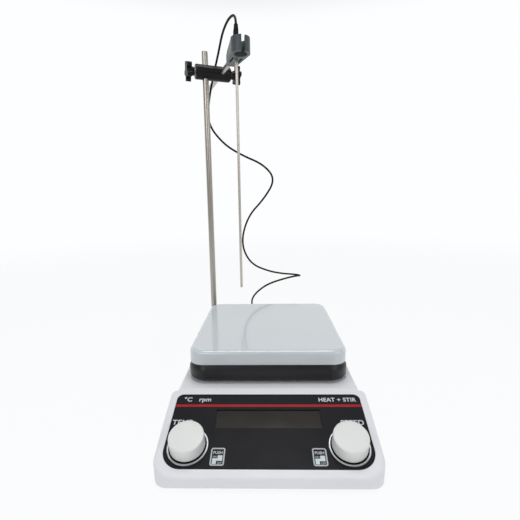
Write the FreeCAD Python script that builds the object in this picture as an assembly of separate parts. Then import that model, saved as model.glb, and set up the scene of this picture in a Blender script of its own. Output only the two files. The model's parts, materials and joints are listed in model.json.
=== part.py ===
# Square-plate magnetic stirrer with heating, support rod, clamp and temperature probe.
# Millimetres. +Z up, +X to the user's right, -Y towards the user.
# The origin is on the bench, below the centre of the plate (the stirring axis).
import FreeCAD, Part
import math
import os

os.makedirs("parts", exist_ok=True)
V = FreeCAD.Vector

# ---------------------------------------------------------------- driving dimensions
PLATE = 190.0            # side of the square plate
PLATE_TOP = 84.0
PLATE_RIM = 66.6         # lower edge of the plate's white side
PLATE_R = 18.0           # plan corner radius
PLATE_EDGE = 5.0         # round along the plate's upper edge
SHROUD = 194.0           # side of the black shroud
SHROUD_TOP, SHROUD_BOT = 66.0, 47.0
SHROUD_R, BEVEL_IN, BEVEL_DOWN = 24.0, 3.2, 6.6
DECK_Z = 44.0            # top of the housing under the plate
BASE_Z = 2.7             # underside of the base pan above the bench
DECK_HALF = 104.2        # half width of the housing under the plate
CON_HALF = 111.5         # half width of the control console
CREASE_Y = -107.3        # line where the deck turns down into the console
FRONT_Y, REAR_Y = -206.0, 145.0
TILT = 17.22             # slope of the console, degrees
LOW_R, HIGH_R = 11.0, 28.0   # console's front corners: at the base, and round the slope
LOW_HALF = 106.0         # half the console's width at its base
WALL = 2.5
OVL_HALF = 102.2         # front overlay: half width, top and bottom edge down the slope
OVL_TOP, OVL_BOT = 8.6, 94.5
DISP_HALF, DISP_TOP, DISP_BOT = 55.5, 29.2, 51.8
KNOB_X, KNOB_A = 79.0, 71.8      # knob centres: across, and down the slope
KNOB_R, KNOB_Z0, KNOB_Z1 = 17.4, 1.9, 16.2
RING_R0, RING_R1 = 18.5, 20.2
PUSH_TRAVEL = 1.0
ROD_X, ROD_Y, ROD_R = -94.8, 115.0, 4.75
ROD_TOP = 487.7
CLAMP_Z = 457.3          # height of the clamp's axis
CLAMP_TURN = 22.0        # the clamp's axis is turned this far from the X axis, degrees
CLAMP_R = 11.0
CLAMP_L0, CLAMP_L1 = -16.0, 41.0  # clamp ends, measured from the rod along its axis
ARM_L = 25.0             # distance from the rod to the arm's hole along the clamp
ARM_R = 4.0
ARM_REAR, ARM_FRONT = -78.0, 70.0  # ends of the arm rod from its hole in the clamp
HOLD_PROBE, HOLD_COLLAR = 85.0, 104.0  # probe hole and collar, from the arm's hole
COLLAR_BORE, COLLAR_R = 9.0, 13.0
HOLD_Z0, HOLD_Z1 = 450.5, 470.0
PROBE_R = 2.0
PROBE_TIP = 125.0
SCREW_PITCH = 1.0        # thumbscrew pitch
CABLE_R = 1.7

made = {}


def put(name, shape):
    """Writes one node. A list of solids becomes a compound."""
    if isinstance(shape, (list, tuple)):
        shape = Part.makeCompound(list(shape)) if len(shape) > 1 else shape[0]
    shape.exportStep("parts/%s.step" % name)
    made[name] = shape
    n = len(shape.Solids)
    print("%-24s solids %d  volume %.1f  valid %s" % (name, n, shape.Volume, shape.isValid()))
    return shape


# ---------------------------------------------------------------- helpers
def cyl(r, z0, z1, x=0.0, y=0.0):
    return Part.makeCylinder(r, z1 - z0, V(x, y, z0), V(0, 0, 1))


def tube(ro, ri, z0, z1, x=0.0, y=0.0):
    return cyl(ro, z0, z1, x, y).cut(cyl(ri, z0 - 1, z1 + 1, x, y))


def box(x0, y0, z0, x1, y1, z1):
    return Part.makeBox(x1 - x0, y1 - y0, z1 - z0, V(x0, y0, z0))


def rface(x0, y0, x1, y1, r, z):
    """Rectangle with corner radii r = one number or (x0y0, x1y0, x1y1, x0y1)."""
    if not isinstance(r, (tuple, list)):
        r = (r, r, r, r)
    a, b, c, d = [max(q, 0.01) for q in r]
    k = math.sqrt(0.5)
    P = lambda x, y: V(x, y, z)
    e = [
        Part.LineSegment(P(x0 + a, y0), P(x1 - b, y0)).toShape(),
        Part.Arc(P(x1 - b, y0), P(x1 - b + b * k, y0 + b - b * k), P(x1, y0 + b)).toShape(),
        Part.LineSegment(P(x1, y0 + b), P(x1, y1 - c)).toShape(),
        Part.Arc(P(x1, y1 - c), P(x1 - c + c * k, y1 - c + c * k), P(x1 - c, y1)).toShape(),
        Part.LineSegment(P(x1 - c, y1), P(x0 + d, y1)).toShape(),
        Part.Arc(P(x0 + d, y1), P(x0 + d - d * k, y1 - d + d * k), P(x0, y1 - d)).toShape(),
        Part.LineSegment(P(x0, y1 - d), P(x0, y0 + a)).toShape(),
        Part.Arc(P(x0, y0 + a), P(x0 + a - a * k, y0 + a - a * k), P(x0 + a, y0)).toShape(),
    ]
    return Part.Face(Part.Wire(e))


def rbox(x0, y0, z0, x1, y1, z1, r):
    return rface(x0, y0, x1, y1, r, z0).extrude(V(0, 0, z1 - z0))


def poly(pts, direction):
    return Part.Face(Part.makePolygon([V(*p) for p in pts] + [V(*pts[0])])).extrude(V(*direction))


def revolve(profile, x=0.0, y=0.0):
    """Turns an (r, z) outline about the vertical through (x, y)."""
    f = Part.Face(Part.makePolygon([V(x + r, y, z) for r, z in profile] + [V(x + profile[0][0], y, profile[0][1])]))
    return f.revolve(V(x, y, 0), V(0, 0, 1), 360)


def hexagon(af, z0, z1, x=0.0, y=0.0):
    R = af / math.sqrt(3)
    return poly([(x + R * math.cos(math.radians(60 * i)), y + R * math.sin(math.radians(60 * i)), z0) for i in range(6)], (0, 0, z1 - z0))


def place(shape, origin, xdir, zdir):
    """Moves a shape from its own frame to one whose x and z axes point along xdir and zdir."""
    z = V(*zdir).normalize()
    x = V(*xdir).normalize()
    y = z.cross(x)
    m = FreeCAD.Matrix(x.x, y.x, z.x, origin[0], x.y, y.y, z.y, origin[1], x.z, y.z, z.z, origin[2], 0, 0, 0, 1)
    s = shape.copy()
    s.Placement = FreeCAD.Placement(m).multiply(s.Placement)
    return s


T = math.radians(TILT)


def panel(shape):
    """From the console's own frame (x across, y up the slope from the crease, z out of it)."""
    return place(shape, (0, CREASE_Y, DECK_Z), (1, 0, 0), (0, -math.sin(T), math.cos(T)))


C0 = math.radians(CLAMP_TURN)
U = (math.cos(C0), math.sin(C0), 0)      # along the clamp, to the right
W = (math.sin(C0), -math.cos(C0), 0)     # along the arm, to the front
ARM_X = ROD_X + ARM_L * U[0]
ARM_Y = ROD_Y + ARM_L * U[1]


def clamp(shape):
    """From the clamp's own frame: z along the clamp, x straight down."""
    return place(shape, (ROD_X, ROD_Y, CLAMP_Z), (0, 0, -1), U)


def arm(shape):
    """From the arm's own frame: z along the arm to the front, x to the clamp's right, y down."""
    return place(shape, (ARM_X, ARM_Y, CLAMP_Z), U, W)


def arm_up(shape):
    """From an upright frame at the arm's hole: x to the clamp's right, y back along the arm, z up."""
    return place(shape, (ARM_X, ARM_Y, 0), U, (0, 0, 1))


def slope_cut(offset):
    """Half space above the console's plane, moved inwards by offset."""
    return panel(Part.makeBox(400, 300, 200, V(-200, -250, -offset)))


def edges_on(shape, test):
    return [e for e in shape.Edges if test(e)]


# ---------------------------------------------------------------- housing
n_s = V(0, -math.sin(T), math.cos(T))
p_s = V(0, CREASE_Y, DECK_Z)


def on_slope(e):
    return all(abs((v.Point - p_s).dot(n_s)) < 1e-4 for v in e.Vertexes)


deck = rbox(-DECK_HALF, -150, BASE_Z, DECK_HALF, REAR_Y, DECK_Z, (0, 0, 15, 15))
top_edges = edges_on(deck, lambda e: all(abs(v.Z - DECK_Z) < 1e-6 and v.Y > -149.5 for v in e.Vertexes) or
                     (all(abs(v.Z - DECK_Z) < 1e-6 for v in e.Vertexes) and e.BoundBox.YLength > 200))
deck = deck.makeFillet(3.0, top_edges)
deck = deck.cut(slope_cut(0))
# the console's walls lean outwards from its base outline, which has tight corners, to the wider outline of the slope
slope_len = (CREASE_Y - FRONT_Y) / math.cos(T)
base_wire = rface(-LOW_HALF, FRONT_Y, LOW_HALF, CREASE_Y, (LOW_R, LOW_R, 5, 5), BASE_Z).OuterWire
slope_wire = panel(rface(-CON_HALF, -slope_len, CON_HALF, 0, (HIGH_R, HIGH_R, 7, 7), 0)).OuterWire
con = Part.makeLoft([base_wire, slope_wire], True, True)
con = con.makeFillet(3.2, edges_on(con, on_slope))
low = edges_on(con, lambda e: all(abs(v.Z - BASE_Z) < 1e-6 and v.Y < CREASE_Y - 1 for v in e.Vertexes))
con = con.makeFillet(1.6, low)
outer = deck.fuse(con).removeSplitter()

inner_deck = rbox(-DECK_HALF + WALL, -150, BASE_Z - 1, DECK_HALF - WALL, REAR_Y - WALL, DECK_Z - 3, (0, 0, 12.5, 12.5)).cut(slope_cut(3.0))
inner_con = rbox(-LOW_HALF + WALL, FRONT_Y + WALL, BASE_Z - 1, LOW_HALF - WALL, CREASE_Y - WALL, DECK_Z + 2, (25.5, 25.5, 4.5, 4.5)).cut(slope_cut(3.0))
cavity = inner_deck.fuse(inner_con).removeSplitter()
housing = outer.cut(cavity)

PAN_T = 1.5
BOSS_XY = [(-92, 126), (92, 126), (-94, 4), (94, 4), (-98, -176), (98, -176)]
bosses = [cyl(4.2, BASE_Z + PAN_T + 0.1, DECK_Z - 1, x, y) for x, y in BOSS_XY]
bosses += [cyl(4.0, 35.0, DECK_Z - 1, sx * 32, sy * 32) for sx in (-1, 1) for sy in (-1, 1)]
bosses += [cyl(5.5, 30.0, DECK_Z - 1, sx * 70, sy * 70) for sx in (-1, 1) for sy in (-1, 1)]
BOARD_XY = [(-92, -22), (92, -22), (-60, -92), (60, -92)]
bosses += [panel(cyl(3.5, -9.0, -2.0, x, y)) for x, y in BOARD_XY]
bosses += [cyl(6.9, 24.0, DECK_Z - 1, ROD_X, ROD_Y)]
for b in bosses:
    housing = housing.fuse(b.common(outer))
# overlay recess, display opening, knob holes
ov = rface(-OVL_HALF - 0.15, -OVL_BOT - 0.15, OVL_HALF + 0.15, -OVL_TOP + 0.15, (20, 20, 7, 7), -1.0).extrude(V(0, 0, 3))
cuts = [panel(ov)]
cuts += [panel(box(-56.7, -53.0, -4, 56.7, -28.0, 1))]
cuts += [panel(cyl(4.1, -5, 1, sx * KNOB_X, -KNOB_A)) for sx in (-1, 1)]
cuts += [cyl(15.0, DECK_Z - 5, DECK_Z + 1)]
cuts += [cyl(1.25, BASE_Z + 1, 20, x, y) for x, y in BOSS_XY]
cuts += [cyl(1.25, 34, DECK_Z - 2, sx * 32, sy * 32) for sx in (-1, 1) for sy in (-1, 1)]
cuts += [cyl(2.15, 29, DECK_Z + 1, sx * 70, sy * 70) for sx in (-1, 1) for sy in (-1, 1)]
cuts += [panel(cyl(1.05, -10, -3.5, x, y)) for x, y in BOARD_XY]
cuts += [cyl(4.9, 23, DECK_Z + 1, ROD_X, ROD_Y)]
INLET_X, INLET_Z, SWITCH_X, SOCKET_X, SOCKET_Z = 62.0, 23.0, 16.0, -27.0, 22.0
cuts += [box(INLET_X - 14, REAR_Y - 5, INLET_Z - 10.2, INLET_X + 14, REAR_Y + 1, INLET_Z + 10.2)]
cuts += [box(SWITCH_X - 6.6, REAR_Y - 5, INLET_Z - 9.7, SWITCH_X + 6.6, REAR_Y + 1, INLET_Z + 9.7)]
cuts += [Part.makeCylinder(5.1, 8, V(SOCKET_X, REAR_Y - 6, SOCKET_Z), V(0, 1, 0))]
# cooling slots in the rear wall
cuts += [place(rbox(-1.25, -9, 0, 1.25, 9, 8, 1.2), (x, REAR_Y - 6, 23.0), (1, 0, 0), (0, 1, 0)) for x in (-82, -76, -70, -64, -58, -52)]
for c in cuts:
    housing = housing.cut(c)
put("upper_housing", housing.removeSplitter())

# ---------------------------------------------------------------- base pan, feet, screws
gap = 0.35
pan_out = rbox(-DECK_HALF + WALL + gap, -150, BASE_Z, DECK_HALF - WALL - gap, REAR_Y - WALL - gap, BASE_Z + 6.3, (0, 0, 12, 12)).fuse(
    rbox(-LOW_HALF + WALL + gap, FRONT_Y + WALL + gap, BASE_Z, LOW_HALF - WALL - gap, CREASE_Y - WALL - gap, BASE_Z + 6.3, (25, 25, 4, 4)))
pan_in = rbox(-DECK_HALF + WALL + gap + 1.2, -150, BASE_Z + PAN_T, DECK_HALF - WALL - gap - 1.2, REAR_Y - WALL - gap - 1.2, BASE_Z + 12, (0, 0, 11, 11)).fuse(
    rbox(-LOW_HALF + WALL + gap + 1.2, FRONT_Y + WALL + gap + 1.2, BASE_Z + PAN_T, LOW_HALF - WALL - gap - 1.2, CREASE_Y - WALL - gap - 1.2, BASE_Z + 12, (24, 24, 3, 3)))
pan = pan_out.removeSplitter().cut(pan_in.removeSplitter())
for x, y in BOSS_XY:
    pan = pan.cut(cyl(6.0, BASE_Z + PAN_T + 0.05, BASE_Z + 12, x, y))
    pan = pan.cut(Part.makeCone(3.1, 1.6, 1.51, V(x, y, BASE_Z - 0.005)))
FEET = [(-80, -176), (80, -176), (-78, 116), (78, 116)]
for x, y in FEET:
    pan = pan.cut(cyl(10.2, BASE_Z - 1, BASE_Z + PAN_T + 1, x, y))
for i in range(9):
    pan = pan.cut(rbox(-60 + 15 * i - 1.5, -128, BASE_Z - 1, -60 + 15 * i + 1.5, -92, BASE_Z + 3, 1.4))
    pan = pan.cut(rbox(-60 + 15 * i - 1.5, 62, BASE_Z - 1, -60 + 15 * i + 1.5, 98, BASE_Z + 3, 1.4))
POWER_XY = [(-72, 44), (-6, 44), (-72, 97), (-6, 97)]
for x, y in POWER_XY:
    pan = pan.cut(cyl(4.5, BASE_Z - 1, BASE_Z + 3, x, y)).fuse(cyl(4.5, BASE_Z, 9.0, x, y)).cut(cyl(1.05, BASE_Z + 1.5, 10, x, y))
put("base_pan", pan.removeSplitter())

foot = []
for x, y in FEET:
    f = revolve([(0, 0), (8.6, 0), (10.0, 1.4), (10.0, BASE_Z + PAN_T), (13.0, BASE_Z + PAN_T), (13.0, BASE_Z + PAN_T + 1.6), (0, BASE_Z + PAN_T + 1.6)], x, y)
    foot.append(f)
put("rubber_feet", foot)
put("base_screws", [Part.makeCone(2.95, 1.5, 1.45, V(x, y, BASE_Z)).fuse(cyl(1.2, BASE_Z + 1.4, 16, x, y)) for x, y in BOSS_XY])

# ---------------------------------------------------------------- front overlay, window, display
ovl = rface(-OVL_HALF, -OVL_BOT, OVL_HALF, -OVL_TOP, (19.8, 19.8, 6.8, 6.8), -1.0).extrude(V(0, 0, 1.2))
ovl = ovl.makeFillet(0.35, edges_on(ovl, lambda e: all(abs(v.Z - 0.2) < 1e-6 for v in e.Vertexes)))
ovl = ovl.cut(rbox(-DISP_HALF, -DISP_BOT, -2, DISP_HALF, -DISP_TOP, 1, 0.6))
for sx in (-1, 1):
    ovl = ovl.cut(cyl(4.4, -2, 1, sx * KNOB_X, -KNOB_A))
put("front_overlay", panel(ovl))
put("display_window", panel(rbox(-56.4, -52.7, -2.0, 56.4, -28.3, -1.0, 0.5)))
lcd = rbox(-62, -56, -8.9, 62, -25, -3.1, 1.0)
put("display_module", panel(lcd))
put("knob_trim_rings", [panel(revolve([(RING_R0, 0.2), (RING_R1, 0.2), (RING_R1, 0.8), (RING_R1 - 0.5, 1.2), (RING_R0 + 0.4, 1.2), (RING_R0, 0.8)], sx * KNOB_X, -KNOB_A)) for sx in (-1, 1)])
board = rbox(-96, -96, -10.6, 96, -16, -9.0, (26, 26, 4, 4))
for x, y in BOARD_XY:
    board = board.cut(cyl(1.3, -12, -8, x, y))
board = panel(board)
for x, y in BOSS_XY:
    board = board.cut(cyl(6.5, 0, DECK_Z, x, y)).cut(box(min(x, 1.2 * x), y - 40, 0, max(x, 1.2 * x), y, DECK_Z).translate(V(0, 0, 0)) if y < -100 else cyl(0.1, -5, -4))
put("control_board", board)

# ---------------------------------------------------------------- push-and-turn encoders and knobs
SHAFT_R = 3.0
enc = []
for sx in (-1, 1):
    e = rbox(sx * KNOB_X - 7, -KNOB_A - 7, -9.0, sx * KNOB_X + 7, -KNOB_A + 7, -3.2, 0.8)
    e = e.fuse(cyl(4.0, -3.3, 0.6, sx * KNOB_X, -KNOB_A))
    e = e.cut(cyl(SHAFT_R + 0.05, -7.2, 2, sx * KNOB_X, -KNOB_A))
    e = e.cut(cyl(4.6, -8.95 + 0.35, -5.6, sx * KNOB_X, -KNOB_A))
    enc.append(panel(e))
put("encoder_bodies", enc)
for side, sx in (("temp", -1), ("speed", 1)):
    x, y = sx * KNOB_X, -KNOB_A
    # the plunger rides under the turning shaft and presses the contact when pushed
    put(side + "_push_plunger", panel(revolve([(0, -7.55), (4.2, -7.55), (4.2, -7.0), (1.4, -6.6), (0, -6.6)], x, y)))
    sh = cyl(SHAFT_R, -6.55, 12.0, x, y)
    sh = sh.cut(box(x + 1.6, y - 4, 3.0, x + 4, y + 4, 13))
    put(side + "_encoder_shaft", panel(sh))
    k = revolve([(0, KNOB_Z0), (KNOB_R, KNOB_Z0), (KNOB_R - 0.25, KNOB_Z1), (0, KNOB_Z1)], x, y)
    k = k.makeFillet(1.3, edges_on(k, lambda e: e.BoundBox.ZMin > KNOB_Z1 - 0.01 and e.BoundBox.XLength > 10))
    k = k.cut(cyl(KNOB_R - 2.2, KNOB_Z0 - 1, KNOB_Z1 - 2.4, x, y))
    hub = cyl(5.6, KNOB_Z0 + 0.6, KNOB_Z1 - 2.0, x, y)
    for i in range(3):
        hub = hub.fuse(place(box(5.0, -0.6, 4, KNOB_R - 1.5, 0.6, KNOB_Z1 - 2.0), (x, y, 0), (math.cos(2.1 * i), math.sin(2.1 * i), 0), (0, 0, 1)))
    bore = cyl(SHAFT_R + 0.02, 0, 12.05, x, y).cut(box(x + 1.62, y - 4, 3.0, x + 4, y + 4, 13))
    k = k.fuse(hub).cut(bore)
    put(side + "_knob", panel(k))

# ---------------------------------------------------------------- plate, heater, insulation, shroud
hp = PLATE / 2
plate = rbox(-hp, -hp, PLATE_RIM, hp, hp, PLATE_TOP, PLATE_R)
plate = plate.makeFillet(PLATE_EDGE, edges_on(plate, lambda e: all(abs(v.Z - PLATE_TOP) < 1e-6 for v in e.Vertexes)))
plate = plate.makeFillet(0.8, edges_on(plate, lambda e: all(abs(v.Z - PLATE_RIM) < 1e-6 for v in e.Vertexes)))
plate = plate.cut(rbox(-88.5, -88.5, PLATE_RIM - 1, 88.5, 88.5, 76, 12))
POSTS = [(sx * 70, sy * 70) for sx in (-1, 1) for sy in (-1, 1)]
for x, y in POSTS:
    plate = plate.cut(cyl(2.1, 70, 81, x, y))
plate = plate.cut(Part.makeCylinder(2.05, 40, V(0, 87.9, 78.5), V(0, -1, 0)))
put("hot_plate", plate)
heater = rbox(-84, -84, 74.4, 84, 84, 76, 9)
clampp = rbox(-85, -85, 72.9, 85, 85, 74.4, 9)
insul = rbox(-88, -88, 49.0, 88, 88, 72.9, 13).cut(cyl(47.0, 48, 61))
for x, y in POSTS:
    heater = heater.cut(cyl(6.2, 70, 80, x, y))
    clampp = clampp.cut(cyl(6.2, 70, 80, x, y))
    insul = insul.cut(cyl(6.2, 48, 80, x, y))
put("heater_element", heater)
put("heater_clamp_plate", clampp)
put("insulation_pad", insul)
hs = SHROUD / 2
shroud = rbox(-hs, -hs, SHROUD_BOT, hs, hs, SHROUD_TOP, SHROUD_R)
hb = hs - BEVEL_IN
bevel = Part.makeLoft([rface(-hs, -hs, hs, hs, SHROUD_R, SHROUD_TOP - BEVEL_DOWN).OuterWire,
                       rface(-hb, -hb, hb, hb, SHROUD_R - BEVEL_IN, SHROUD_TOP).OuterWire], True, True)
shroud = shroud.common(rbox(-hs - 1, -hs - 1, SHROUD_BOT - 1, hs + 1, hs + 1, SHROUD_TOP - BEVEL_DOWN, 1.0).fuse(bevel)).removeSplitter()
shroud = shroud.makeFillet(3.0, edges_on(shroud, lambda e: all(abs(v.Z - SHROUD_BOT) < 1e-6 for v in e.Vertexes)))
shroud = shroud.cut(rbox(-90.5, -90.5, SHROUD_BOT + 2.0, 90.5, 90.5, SHROUD_TOP + 1, 17.0))
shroud = shroud.cut(cyl(46.5, 40, 52))
for x, y in POSTS:
    shroud = shroud.cut(cyl(6.2, 40, 52, x, y))
put("plate_shroud", shroud)
posts = []
for x, y in POSTS:
    p = hexagon(9.0, DECK_Z, 76.0, x, y).fuse(cyl(1.95, 75.9, 80.5, x, y)).cut(cyl(2.05, DECK_Z - 1, 58, x, y))
    posts.append(p)
put("plate_posts", posts)
put("plate_screws", [cyl(3.6, 27.2, 29.95, x, y).fuse(cyl(2.0, 29.9, 55.0, x, y)).cut(hexagon(3.0, 27, 28.7, x, y)) for x, y in POSTS])
put("plate_sensor", Part.makeCylinder(2.0, 30, V(0, 87.4, 78.5), V(0, -1, 0)))

# ---------------------------------------------------------------- stirring drive
MOTOR_R, MOTOR_Z0, MOTOR_Z1 = 26.5, 9.0, 32.8
can = cyl(MOTOR_R, MOTOR_Z0, MOTOR_Z1).cut(cyl(MOTOR_R - 1.5, MOTOR_Z0 + 2, MOTOR_Z1 - 2))
can = can.cut(cyl(8.0, MOTOR_Z1 - 3, MOTOR_Z1 + 1)).fuse(tube(9.5, 8.0, MOTOR_Z1 - 5, MOTOR_Z1)).fuse(tube(9.5, 8.0, MOTOR_Z0 + 1, MOTOR_Z0 + 6))
can = can.cut(cyl(8.0, MOTOR_Z0 + 1.0, MOTOR_Z0 + 6))
put("motor_can", can.removeSplitter())
put("motor_bearings", [tube(8.0, 2.55, MOTOR_Z0 + 1.0, MOTOR_Z0 + 6), tube(8.0, 2.55, MOTOR_Z1 - 5, MOTOR_Z1)])
stator = tube(MOTOR_R - 1.5, 20.5, 16.2, 26.8)
put("motor_stator", stator)
rotor = tube(19.8, 2.5, 16.6, 26.4)
put("motor_rotor", rotor)
put("stir_shaft", cyl(2.5, MOTOR_Z0 + 1.3, 57.0))
brk = rbox(-40, -40, MOTOR_Z1, 40, 40, 35.0, 4).cut(cyl(9.6, 30, 40))
for sx in (-1, 1):
    for sy in (-1, 1):
        brk = brk.cut(cyl(1.6, 30, 40, sx * 32, sy * 32))
put("motor_bracket", brk)
put("motor_bracket_screws", [cyl(2.8, 30.9, MOTOR_Z1, sx * 32, sy * 32).fuse(cyl(1.2, MOTOR_Z1 - 0.1, 40.5, sx * 32, sy * 32)) for sx in (-1, 1) for sy in (-1, 1)])
hold = cyl(41.0, 50.0, 53.0).fuse(rbox(-40, -12, 53.0, 40, 12, 58.5, 11.9)).fuse(cyl(7.0, 46.0, 53.0))
hold = hold.cut(cyl(2.5, 40, 57.0))
for sx in (-1, 1):
    hold = hold.cut(cyl(9.0, 54.0, 60, sx * 28, 0))
put("magnet_holder", hold.removeSplitter())
put("drive_magnets", [cyl(9.0, 54.0, 58.5, sx * 28, 0) for sx in (-1, 1)])

# ---------------------------------------------------------------- power electronics
pb = rbox(-77, 39, 9.0, -1, 102, 10.6, 3)
for x, y in POWER_XY:
    pb = pb.cut(cyl(1.5, 8, 12, x, y))
put("power_board", pb)
put("board_screws", [cyl(2.6, 10.6, 12.4, x, y).fuse(cyl(1.0, 5.5, 10.7, x, y)) for x, y in POWER_XY] +
    [panel(cyl(2.4, -12.2, -10.6, x, y).fuse(cyl(1.0, -10.7, -4.5, x, y))) for x, y in BOARD_XY])
put("power_transformer", rbox(-63.5, 56, 10.6, -33.5, 92, 31, 1.5))
put("power_capacitors", [cyl(8, 10.6, 33, -22, 88), cyl(8, 10.6, 33, -22, 68), cyl(4, 10.6, 22, -10, 78)])
sink = box(30, 40, BASE_Z + PAN_T, 70, 43, 34)
sink = sink.fuse(box(30, 40, BASE_Z + PAN_T, 70, 60, 7.0))
for i in range(5):
    sink = sink.fuse(box(30 + 9.2 * i, 43, 7.0, 31.8 + 9.2 * i, 58, 32))
put("triac_heat_sink", sink.removeSplitter())

# ---------------------------------------------------------------- rear connectors and mains switch
RY = REAR_Y
fl = rbox(-16.5, -13, 0, 16.5, 13, 2.0, 3)
inl = place(fl, (INLET_X, RY, INLET_Z), (-1, 0, 0), (0, 1, 0))
inl = inl.fuse(box(INLET_X - 13.7, RY - 19, INLET_Z - 9.9, INLET_X + 13.7, RY, INLET_Z + 9.9))
rec = Part.Face(Part.makePolygon([V(INLET_X + a, RY - 15.5, INLET_Z + b) for a, b in
      [(-12, -8.2), (12, -8.2), (12, 4.6), (8.4, 8.2), (-8.4, 8.2), (-12, 4.6), (-12, -8.2)]])).extrude(V(0, 20, 0))
inl = inl.cut(rec)
pins = []
for a, b in ((-7.0, -2.0), (7.0, -2.0), (0.0, 2.0)):
    pins.append(box(INLET_X + a - 1, RY - 21.5, INLET_Z + b - 2, INLET_X + a + 1, RY - 4.5, INLET_Z + b + 2))
for p in pins:
    inl = inl.cut(p)
put("mains_inlet", inl)
put("inlet_pins", pins)
sw = place(rbox(-7.6, -10.6, 0, 7.6, 10.6, 1.8, 1.2), (SWITCH_X, RY, INLET_Z), (-1, 0, 0), (0, 1, 0))
sw = sw.fuse(box(SWITCH_X - 6.4, RY - 14, INLET_Z - 9.5, SWITCH_X + 6.4, RY, INLET_Z + 9.5))
sw = sw.cut(box(SWITCH_X - 5.2, RY - 8.5, INLET_Z - 8.4, SWITCH_X + 5.2, RY + 3, INLET_Z + 8.4))
ROCK_Y = RY - 3.0
sw = sw.cut(Part.makeCylinder(1.05, 20, V(SWITCH_X - 6.0, ROCK_Y, INLET_Z), V(1, 0, 0)).common(box(SWITCH_X - 6.0, 0, 0, SWITCH_X + 6.0, 300, 60)))
put("power_switch_frame", sw)
# the rocker: two faces meeting at a shallow V, tilted so that one end stands out
prof = [(-7.9, 1.2), (-7.9, -0.2), (-4.0, -3.6), (4.0, -3.6), (7.9, -0.2), (7.9, 1.2), (0.0, 3.4)]
rk = Part.Face(Part.makePolygon([V(SWITCH_X - 5.0, ROCK_Y + b, INLET_Z + a) for a, b in prof] + [V(SWITCH_X - 5.0, ROCK_Y + prof[0][1], INLET_Z + prof[0][0])])).extrude(V(10, 0, 0))
rk = rk.fuse(Part.makeCylinder(1.0, 11.6, V(SWITCH_X - 5.8, ROCK_Y, INLET_Z), V(1, 0, 0)))
rk = rk.copy()
ROCK_REST = 9.0
rk.rotate(V(SWITCH_X, ROCK_Y, INLET_Z), V(1, 0, 0), ROCK_REST)
put("power_rocker", rk)
Y1 = V(0, 1, 0)
so = Part.makeCylinder(7.2, 2.0, V(SOCKET_X, RY, SOCKET_Z), Y1).fuse(Part.makeCylinder(5.0, 16.0, V(SOCKET_X, RY - 12, SOCKET_Z), Y1))
so = so.cut(Part.makeCylinder(3.6, 12.0, V(SOCKET_X, RY - 6.0, SOCKET_Z), Y1))
put("probe_socket", so)

# ---------------------------------------------------------------- support rod and its socket
put("rod_socket", tube(4.85, 4.05, 24.2, DECK_Z, ROD_X, ROD_Y).fuse(cyl(4.85, 24.2, 27.0, ROD_X, ROD_Y)).removeSplitter())
rod = cyl(ROD_R, DECK_Z + 0.1, ROD_TOP, ROD_X, ROD_Y)
rod = rod.makeChamfer(0.6, edges_on(rod, lambda e: e.BoundBox.ZMin > ROD_TOP - 0.01 and len(e.Vertexes) == 1))
rod = rod.fuse(cyl(4.0, 30.7, DECK_Z + 0.2, ROD_X, ROD_Y))
put("support_rod", rod.removeSplitter())

# ---------------------------------------------------------------- clamp (boss head) with thumbscrews
body = cyl(CLAMP_R, CLAMP_L0, CLAMP_L1)
body = body.makeChamfer(0.7, edges_on(body, lambda e: len(e.Vertexes) == 1 and e.BoundBox.ZMin < CLAMP_L0 + 0.01))
body = body.makeFillet(4.0, edges_on(body, lambda e: len(e.Vertexes) == 1 and e.BoundBox.ZMin > CLAMP_L1 - 0.01))
body = body.cut(Part.makeCylinder(ROD_R + 0.08, 60, V(-30, 0, 0), V(1, 0, 0)))
body = body.cut(Part.makeCylinder(ARM_R + 0.08, 60, V(0, -30, ARM_L), V(0, 1, 0)))
body = body.cut(cyl(3.05, CLAMP_L0 - 1, 0)).cut(cyl(3.05, ARM_L, CLAMP_L1 + 1))
put("boss_head", clamp(body))


def star(z0, z1):
    """Five-lobed grip, axis along z."""
    s = cyl(9.3, z0, z1)
    for i in range(5):
        a = math.radians(72 * i + 18)
        s = s.fuse(cyl(3.9, z0, z1, 11.1 * math.cos(a), 11.1 * math.sin(a)))
    return s.removeSplitter()


STUD_GAP = 0.25
for side, sgn, tip, end in (("rod", -1, ROD_R + STUD_GAP, -CLAMP_L0), ("arm", 1, ARM_R + STUD_GAP, CLAMP_L1 - ARM_L)):
    # own frame: z points outwards along the thumbscrew, zero at the hole that it closes on
    st = cyl(2.95, tip, end + 12.0)
    kn = Part.makeCone(6.0, 7.0, 5.2, V(0, 0, end + 2.0)).fuse(star(end + 7.0, end + 14.5)).cut(cyl(2.97, end, end + 12.05))
    base = (ROD_X, ROD_Y, CLAMP_Z) if sgn < 0 else (ARM_X, ARM_Y, CLAMP_Z)
    zd = (sgn * U[0], sgn * U[1], 0)
    put(side + "_screw_stud", place(st, base, (0, 0, 1), zd))
    put(side + "_screw_knob", place(kn.removeSplitter(), base, (0, 0, 1), zd))

# ---------------------------------------------------------------- arm rod and probe holder
a = cyl(ARM_R, ARM_REAR, ARM_FRONT)
a = a.makeChamfer(0.5, edges_on(a, lambda e: len(e.Vertexes) == 1 and e.BoundBox.ZMax < ARM_REAR + 0.01))
put("arm_rod", arm(a))
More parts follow.
